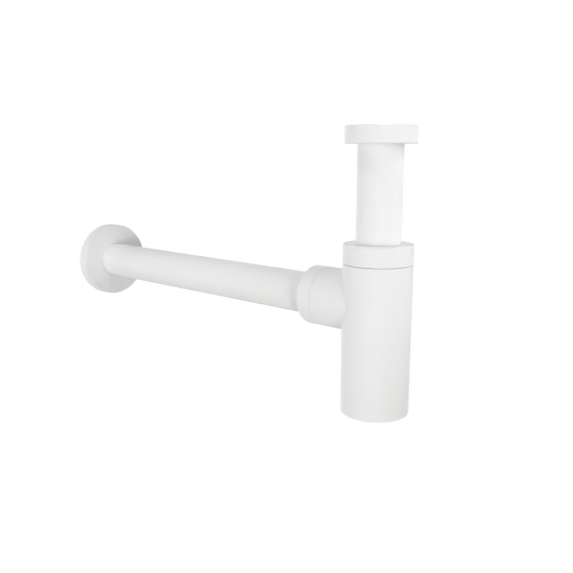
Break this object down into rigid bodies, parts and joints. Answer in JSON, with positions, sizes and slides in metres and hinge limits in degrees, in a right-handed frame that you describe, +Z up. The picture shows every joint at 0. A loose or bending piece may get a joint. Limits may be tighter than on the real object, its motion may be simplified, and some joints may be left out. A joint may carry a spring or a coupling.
{
  "type": "bottle trap",
  "caption": "Bottle trap for a wash basin, with a union nut, a dip tube, a screw plug below and a level outlet pipe with a sliding wall flange.",
  "frame": {"origin": "middle of the union nut's mouth, on the inlet's axis", "axes": "+Z up along the inlet tube, +Y along the outlet pipe towards the wall"},
  "size_m": [0.07, 0.3751, 0.2055],
  "materials": {
    "white_paint": "matt",
    "bare_brass": "satin",
    "nylon": "smooth",
    "black_rubber": "smooth"
  },
  "bodies": {
    "union_nut": {"inlet_nut": "white_paint"},
    "union_slip_ring": {"inlet_slip_ring": "nylon"},
    "tube": {"inlet_tube": "white_paint", "inlet_washer": "black_rubber"},
    "tube_seal": {"lock_cone_seal": "black_rubber"},
    "bottle": {"bottle": "white_paint", "neck_ring": "bare_brass", "outlet_boss": "white_paint", "bottom_ring": "white_paint"},
    "lock_ring": {"lock_friction_ring": "nylon"},
    "lock_nut": {"lock_nut": "white_paint"},
    "outlet_ring": {"outlet_friction_ring": "nylon"},
    "outlet_nut": {"outlet_nut": "white_paint"},
    "pipe_seal": {"outlet_cone_seal": "black_rubber"},
    "pipe": {"outlet_pipe": "white_paint"},
    "flange_ring": {"flange_grip_ring": "black_rubber"},
    "flange": {"wall_flange": "white_paint"},
    "plug_gasket": {"cleanout_gasket": "black_rubber"},
    "plug": {"cleanout_plug": "white_paint"}
  },
  "joints": [
    {"name": "union_nut_slide", "type": "slide", "parent": "union_nut", "child": "union_slip_ring", "axis": [0, 0, 1], "range_m": [0, 0.055]},
    {"name": "tube_swivel", "type": "hinge", "parent": "union_slip_ring", "child": "tube", "pos_m": [0, 0, -0.008], "axis": [0, 0, 1], "continuous": true},
    {"name": "height_slide", "type": "slide", "parent": "tube", "child": "tube_seal", "axis": [0, 0, 1], "range_m": [-0.045, 0.005]},
    {"name": "bottle_swivel", "type": "hinge", "parent": "tube_seal", "child": "bottle", "pos_m": [0, 0, -0.088], "axis": [0, 0, 1], "continuous": true},
    {"name": "lock_nut_lift", "type": "slide", "parent": "bottle", "child": "lock_ring", "axis": [0, 0, 1], "range_m": [0, 0.008]},
    {"name": "lock_nut_turn", "type": "hinge", "parent": "lock_ring", "child": "lock_nut", "pos_m": [0, 0, -0.088], "axis": [0, 0, 1], "range_deg": [0, 1440]},
    {"name": "outlet_nut_travel", "type": "slide", "parent": "bottle", "child": "outlet_ring", "axis": [0, 1, 0], "range_m": [0, 0.006]},
    {"name": "outlet_nut_turn", "type": "hinge", "parent": "outlet_ring", "child": "outlet_nut", "pos_m": [0, 0.051, -0.1255], "axis": [0, 1, 0], "range_deg": [0, 1440]},
    {"name": "pipe_turn", "type": "hinge", "parent": "bottle", "child": "pipe_seal", "pos_m": [0, 0.05, -0.1255], "axis": [0, 1, 0], "continuous": true},
    {"name": "pipe_slide", "type": "slide", "parent": "pipe_seal", "child": "pipe", "axis": [0, 1, 0], "range_m": [-0.004, 0.018]},
    {"name": "flange_slide", "type": "slide", "parent": "pipe", "child": "flange_ring", "axis": [0, -1, 0], "range_m": [0, 0.245]},
    {"name": "flange_turn", "type": "hinge", "parent": "flange_ring", "child": "flange", "pos_m": [0, 0.3248, -0.1255], "axis": [0, 1, 0], "continuous": true},
    {"name": "plug_drop", "type": "slide", "parent": "bottle", "child": "plug_gasket", "axis": [0, 0, -1], "range_m": [0, 0.0036]},
    {"name": "plug_turn", "type": "hinge", "parent": "plug_gasket", "child": "plug", "pos_m": [0, 0, -0.2], "axis": [0, 0, -1], "range_deg": [0, 864]}
  ],
  "couplings": [
    {"joint": "lock_nut_turn", "follows": "lock_nut_lift", "rad_per_m": 3141.6},
    {"joint": "outlet_nut_turn", "follows": "outlet_nut_travel", "rad_per_m": 4188.8},
    {"joint": "plug_turn", "follows": "plug_drop", "rad_per_m": 4188.8}
  ]
}
